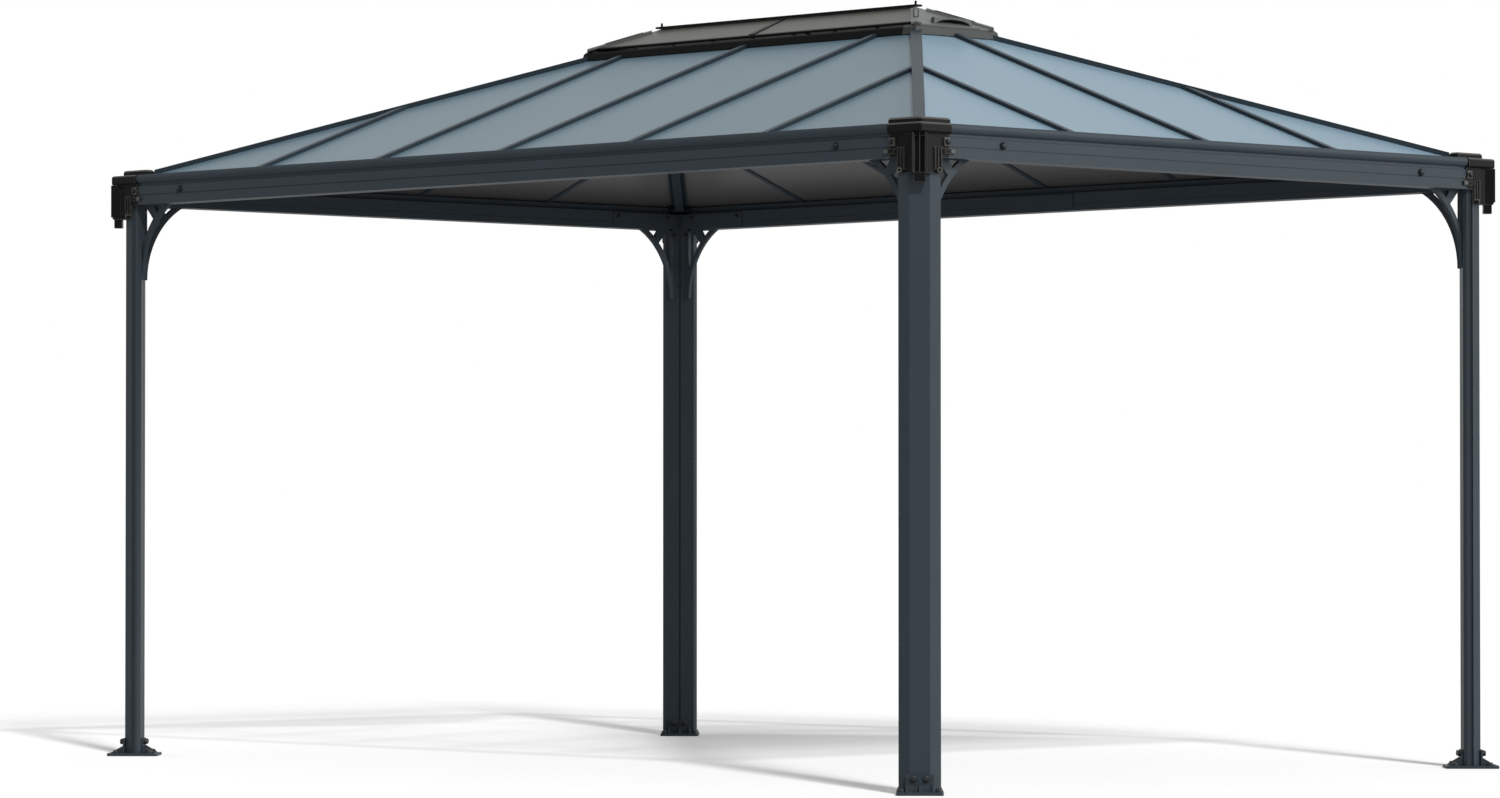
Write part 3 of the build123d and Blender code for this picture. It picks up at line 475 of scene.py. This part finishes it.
def bracketRings(name, look):
    # round the eye at each lower corner
    frames = placedAt(*postPlaces(**look["at"]))
    makePiece(name, *copies(*torus(*look["size"]), *frames), paleFittingAndHighlight)


bracketHighlightPatches("bracket_lug_highlights", lugHighlight)
bracketHighlightPatches("bracket_claw_highlights", clawHighlight)
bracketRings("bracket_rings", bracketRing)
print("bracket fittings on")


# arched fronts of the small raised lids on the vented top's end slopes
lidFront = dict(
    x=0.8625, base=2.6708, thick=0.0015,
    inner=(0.086, 0.0195), outer=(0.0970, 0.0250),      # half width and height of each arch
    square=0.35,                                        # the smaller, the squarer the outer one
    tube=0.0024, steps=49, around=10,
)


def archStrip(look, t):
    # flat band between the arch (wide·cos t, high·sin t) and a squarer one with cos and sin to a
    # small power
    wave = np.stack([np.cos(t), np.sin(t)], -1)
    inner = wave * look["inner"]
    outer = np.sign(wave) * np.abs(wave) ** look["square"] * look["outer"]
    ring = np.stack([inner, outer, outer, inner], 1)
    deep = np.array([0, 0, look["thick"], look["thick"]])
    deep = np.broadcast_to(deep, (len(t), 4))[..., None]
    verts = np.concatenate([deep, ring], -1).reshape(-1, 3)
    end = len(verts) - 4
    return verts, gridFaces(len(t), 4) + [[3, 2, 1, 0], [end, end + 1, end + 2, end + 3]]


def archTube(look, t):
    # (thick + tube·sin b, (wide + tube·cos b)·cos t, (high + tube·cos b)·sin t), closed by a point
    # at each foot
    count, rings = look["around"], len(t)
    t, b = np.meshgrid(t, fullTurn(count), indexing="ij")
    wide, high = look["inner"]
    grown = look["tube"] * np.cos(b)
    deep = look["thick"] + look["tube"] * np.sin(b)
    body = np.stack([deep, (wide + grown) * np.cos(t), (high + grown) * np.sin(t)], -1)
    body = body.reshape(-1, 3)
    verts = np.vstack([body, [(look["thick"], wide, 0), (look["thick"], -wide, 0)]])
    start = fan(0, count, len(body), inward=True)
    end = fan(len(body) - count, count, len(body) + 1)
    return verts, gridFaces(rings, count) + start + end


def bothEnds(name, verts, faces, look, mat):
    # the same front on both end slopes; the one on the right has its faces turned round
    right = verts + [look["x"], 0, look["base"]]
    left = right * [-1, 1, 1]
    step = len(verts)
    rightFaces = [face[::-1] for face in faces]
    leftFaces = [[i + step for i in face] for face in faces]
    makePiece(name, np.vstack([right, left]), rightFaces + leftFaces, mat)


archTurn = np.linspace(0, math.pi, lidFront["steps"])
bothEnds("vent_lid_fronts", *archStrip(lidFront, archTurn), lidFront, endSlopeLit)
bothEnds("vent_lid_rims", *archTube(lidFront, archTurn), lidFront, paleFittingAndHighlight)


# slots in the corner covers of the vented top, their openings filled with dark pills of painted
# shade
hipCover = dict(
    cornerX=0.884, cornerY=0.209, top=2.6735,       # outer corner of the cover, and its height
    topRun=0.009,                                   # how far in from the corner that height is met
    rise=0.41, slotFrom=0.056, slotTo=0.160,
    rim=(0.0105, 0.0009), strip=(0.0060, 0.0014),   # half width and thickness
)


def coverSlots(look):
    # pills on the line that runs up each cover, (-1, -1, rise) for each step in from the corner;
    # (rise, rise, 2) stands square to it
    run = (look["slotFrom"] + look["slotTo"]) / 2
    half = (look["slotTo"] - look["slotFrom"]) / 2 * math.sqrt(2 + look["rise"] ** 2)
    level = look["top"] + look["rise"] * (run - look["topRun"])
    middles = corners * (np.array([look["cornerX"], look["cornerY"]]) - run)
    count = len(corners)
    spots = np.column_stack([middles, np.full(count, level)])
    axes = np.column_stack([corners * look["rise"], np.full(count, 2.0)])
    alongs = np.column_stack([-corners, np.full(count, look["rise"])])
    frames = placedAt(spots, axes, alongs)
    wide, high = look["rim"]
    makePiece("vent_cover_slots", *copies(*pad(half, wide, high), *frames), slotShade)
    inner, innerHigh = look["strip"]
    strip = pad(half - wide + inner, inner, innerHigh)
    makePiece("vent_cover_strips", *copies(*strip, *frames), endSlopeLit)


coverSlots(hipCover)

# pins on the ridge of the vented top
ridgePins = dict(x=0.675, z=2.7497)
pinSpots = [(side * ridgePins["x"], 0, ridgePins["z"]) for side in (1, -1)]
boltSet("vent_ridge_pins", "ridgePin", pinSpots, [(0, 0, 1)] * len(pinSpots), ventTrim)
print("vented top dressed")


# floor, light and camera
floorLook = dict(
    size=400, drop=0.0005, roughness=0.9, specular=0.0,
    colour=0.90, bounceColour=0.60,     # as the camera sees it, and as it throws light back
    glow=0.21,                          # added for the camera alone
)
worldLook = dict(light=0.31, seen=1.0)
lampsOnGazebo = dict(
    key=dict(power=1.26, angle=7, azimuth=-26, height=36.8),
    side=dict(power=1.9, angle=40, azimuth=37, height=19),
)
lampsOnFloor = dict(        # one light smeared downward, which draws the floor's long soft shadows
    floorHigh=dict(power=1.05, angle=3, azimuth=-27, height=38.5),
    floorMiddle=dict(power=1.22, angle=6, azimuth=-28, height=32),
    floorLow=dict(power=1.43, angle=9, azimuth=-29, height=26),
)
passed = ("roof_sheets_front", "roof_sheets_back", "vent_")     # let the floor's lamps through


def makeFloor():
    s, z = floorLook["size"], -floorLook["drop"]
    mesh = bpy.data.meshes.new("floor")
    mesh.from_pydata([(-s, -s, z), (s, -s, z), (s, s, z), (-s, s, z)], [], [(0, 1, 2, 3)])
    floor = bpy.data.objects.new("floor", mesh)
    bpy.context.scene.collection.objects.link(floor)
    mat, nt, shader = newMaterial("paleFloor", floorLook)
    feed(nt, shader.inputs["Emission Color"], (1, 1, 1))
    seen = nt.nodes.new("ShaderNodeLightPath").outputs["Is Camera Ray"]
    tone = rescaled(nt, seen, toMin=floorLook["bounceColour"], toMax=floorLook["colour"])
    feed(nt, shader.inputs["Base Color"], tone)
    feed(nt, shader.inputs["Emission Strength"], mathStep(nt, "MULTIPLY", seen, floorLook["glow"]))
    mesh.materials.append(mat)
    return floor


def linked(lamp, objects, state):
    # the objects that a lamp's light is kept to, or kept from
    chosen = bpy.data.collections.new(lamp.name + state.title())
    for at, obj in enumerate(objects):
        chosen.objects.link(obj)
        chosen.collection_objects[at].light_linking.link_state = state
    return chosen


def makeSun(name, look):
    lamp = bpy.data.lights.new(name, "SUN")
    lamp.energy = look["power"]
    lamp.angle = math.radians(look["angle"])
    obj = bpy.data.objects.new(name, lamp)
    bpy.context.scene.collection.objects.link(obj)
    # the lamp shines along its own -Z, down from its height and in from its azimuth
    obj.rotation_euler = (math.radians(90 - look["height"]), 0, math.radians(look["azimuth"] + 90))
    return obj


def makeLamps(floor):
    for name, look in lampsOnGazebo.items():
        lamp = makeSun(name, look)
        lamp.light_linking.receiver_collection = linked(lamp, [floor], "EXCLUDE")
    through = [node for name, node in nodes.items() if name.startswith(passed)]
    for name, look in lampsOnFloor.items():
        lamp = makeSun(name, look)
        lamp.light_linking.receiver_collection = linked(lamp, [floor], "INCLUDE")
        lamp.light_linking.blocker_collection = linked(lamp, through, "EXCLUDE")


def makeWorld():
    # white to the camera and in gloss and glass, and a plain grey light for the rest
    world = bpy.data.worlds.new("studio")
    bpy.context.scene.world = world
    world.use_nodes = True
    nt = world.node_tree
    back = nt.nodes["Background"]
    path = nt.nodes.new("ShaderNodeLightPath").outputs
    seen = mathStep(nt, "MAXIMUM", path["Is Camera Ray"], path["Is Transmission Ray"])
    seen = mathStep(nt, "MAXIMUM", seen, path["Is Glossy Ray"])
    level = rescaled(nt, seen, toMin=worldLook["light"], toMax=worldLook["seen"])
    feed(nt, back.inputs["Color"], (1, 1, 1))
    feed(nt, back.inputs["Strength"], level)


cameraLook = dict(
    spot=(15.35492, -14.85977, 0.92651), yaw=0.8080, pitch=0.019274,
    lens=138.74, sensor=36, reach=1000,
)


def makeCamera():
    lens = bpy.data.cameras.new("camera")
    lens.lens = cameraLook["lens"]
    lens.sensor_width = cameraLook["sensor"]
    lens.clip_end = cameraLook["reach"]
    obj = bpy.data.objects.new("camera", lens)
    bpy.context.scene.collection.objects.link(obj)
    obj.location = cameraLook["spot"]
    obj.rotation_euler = (math.pi / 2 + cameraLook["pitch"], 0, cameraLook["yaw"])
    bpy.context.scene.camera = obj


floor = makeFloor()
makeLamps(floor)
makeWorld()
makeCamera()
bpy.context.scene.view_settings.view_transform = "Standard"
print("stage, light and camera ready")
